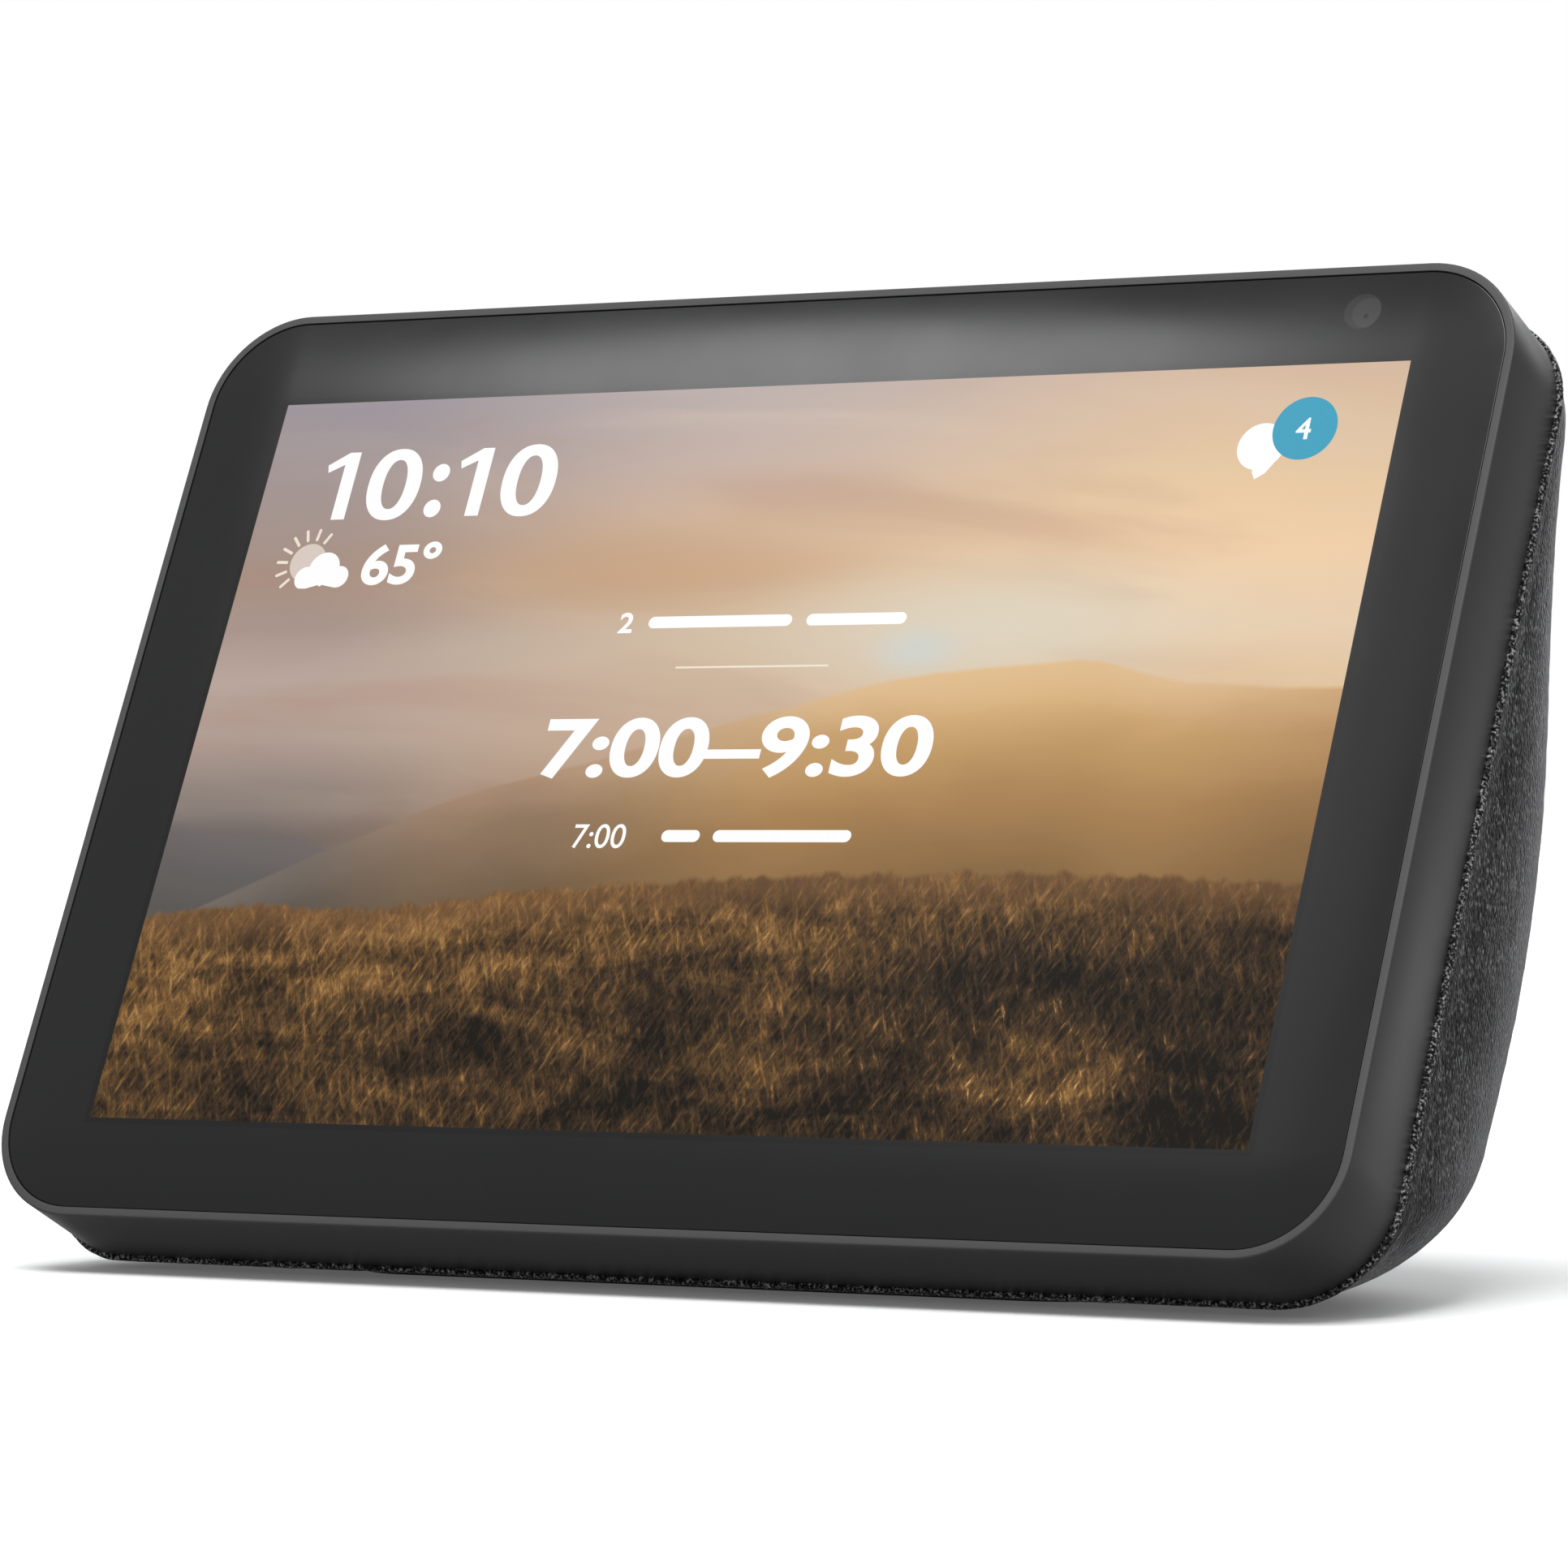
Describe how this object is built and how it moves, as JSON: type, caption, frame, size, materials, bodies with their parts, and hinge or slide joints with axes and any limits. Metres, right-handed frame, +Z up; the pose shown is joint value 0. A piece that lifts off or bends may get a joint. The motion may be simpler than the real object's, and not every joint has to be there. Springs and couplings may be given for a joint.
{
  "type": "smart display",
  "caption": "Leaning rounded-corner touch screen on a fabric-wrapped wedge housing, with top buttons, sliding camera cover, speakers and rear power inlet.",
  "frame": {"origin": "centre of the bounding box's bottom face, on the surface the foot rests on", "axes": "+X to the right seen from the front, +Y towards the back, +Z up; the screen faces -Y and leans back 25.2 degrees"},
  "size_m": [0.2004, 0.0992, 0.1308],
  "materials": {
    "frame_plastic": "fine satin moulded charcoal",
    "button_plastic": "satin moulded charcoal",
    "glass_black": "glossy cover glass with a black printed border",
    "screen": "lit display picture",
    "lens_glass": "coated lens glass",
    "fabric": "heathered charcoal knit",
    "rubber": "matt black rubber",
    "foam": "black foam gasket",
    "inner_plastic": "black moulded plastic",
    "port_plastic": "black moulded plastic",
    "steel": "pressed bright steel",
    "switch_metal": "small pressed steel cans",
    "aluminium": "plain aluminium",
    "circuit_board": "green solder mask",
    "flex_copper": "flex circuit",
    "cone_paper": "matt black pulp cone"
  },
  "bodies": {
    "housing": {"front_frame": "frame_plastic", "cover_glass": "glass_black", "glass_gasket": "foam", "lcd_panel": "screen", "backlight_unit": "aluminium", "display_chassis": "steel", "volume_down_switch": "switch_metal", "volume_up_switch": "switch_metal", "privacy_switch": "switch_metal", "button_board": "circuit_board", "mic_board_left": "circuit_board", "microphone_left": "switch_metal", "mic_board_right": "circuit_board", "microphone_right": "switch_metal", "camera_module": "inner_plastic", "camera_lens": "lens_glass", "light_sensor": "lens_glass", "sensor_board": "circuit_board", "main_board": "circuit_board", "board_screw_1": "steel", "board_screw_2": "steel", "board_screw_3": "steel", "board_screw_4": "steel", "shield_can": "steel", "heat_sink": "aluminium", "display_cable": "flex_copper", "button_cable": "flex_copper", "antenna_left": "flex_copper", "antenna_right": "flex_copper", "fabric_cover": "fabric", "rear_shell": "inner_plastic", "base_plate": "inner_plastic", "base_screw_1": "steel", "base_screw_2": "steel", "base_screw_3": "steel", "base_screw_4": "steel", "rubber_foot": "rubber", "port_plate": "port_plastic", "dc_jack": "port_plastic", "usb_port": "steel", "port_board": "circuit_board", "speaker_box": "inner_plastic", "speaker_basket_left": "steel", "speaker_magnet_left": "steel", "speaker_surround_left": "rubber", "speaker_basket_right": "steel", "speaker_magnet_right": "steel", "speaker_surround_right": "rubber", "radiator_frame": "inner_plastic", "radiator_surround": "rubber"},
    "volume_down_button": {"volume_down_button": "button_plastic"},
    "volume_up_button": {"volume_up_button": "button_plastic"},
    "privacy_button": {"privacy_button": "button_plastic"},
    "camera_shutter": {"camera_shutter": "button_plastic"},
    "speaker_cone_left": {"speaker_cone_left": "cone_paper"},
    "speaker_cone_right": {"speaker_cone_right": "cone_paper"},
    "passive_radiator": {"passive_radiator": "cone_paper"}
  },
  "joints": [
    {"name": "volume_down_press", "type": "slide", "parent": "housing", "child": "volume_down_button", "axis": [0, -0.4258, -0.9048], "range_m": [0, 0.0005], "stiffness_N_per_m": 2000},
    {"name": "volume_up_press", "type": "slide", "parent": "housing", "child": "volume_up_button", "axis": [0, -0.4258, -0.9048], "range_m": [0, 0.0005], "stiffness_N_per_m": 2000},
    {"name": "privacy_press", "type": "slide", "parent": "housing", "child": "privacy_button", "axis": [0, -0.4258, -0.9048], "range_m": [0, 0.0005], "stiffness_N_per_m": 2000},
    {"name": "shutter_slide", "type": "slide", "parent": "housing", "child": "camera_shutter", "axis": [1, 0, 0], "range_m": [0, 0.0073]},
    {"name": "cone_left", "type": "slide", "parent": "housing", "child": "speaker_cone_left", "axis": [-0.5736, 0.8192, 0], "range_m": [-0.0015, 0.0015], "stiffness_N_per_m": 800},
    {"name": "cone_right", "type": "slide", "parent": "housing", "child": "speaker_cone_right", "axis": [0.5736, 0.8192, 0], "range_m": [-0.0015, 0.0015], "stiffness_N_per_m": 800},
    {"name": "radiator_slide", "type": "slide", "parent": "housing", "child": "passive_radiator", "axis": [0, 1, 0], "range_m": [-0.0012, 0.0012], "stiffness_N_per_m": 900}
  ]
}
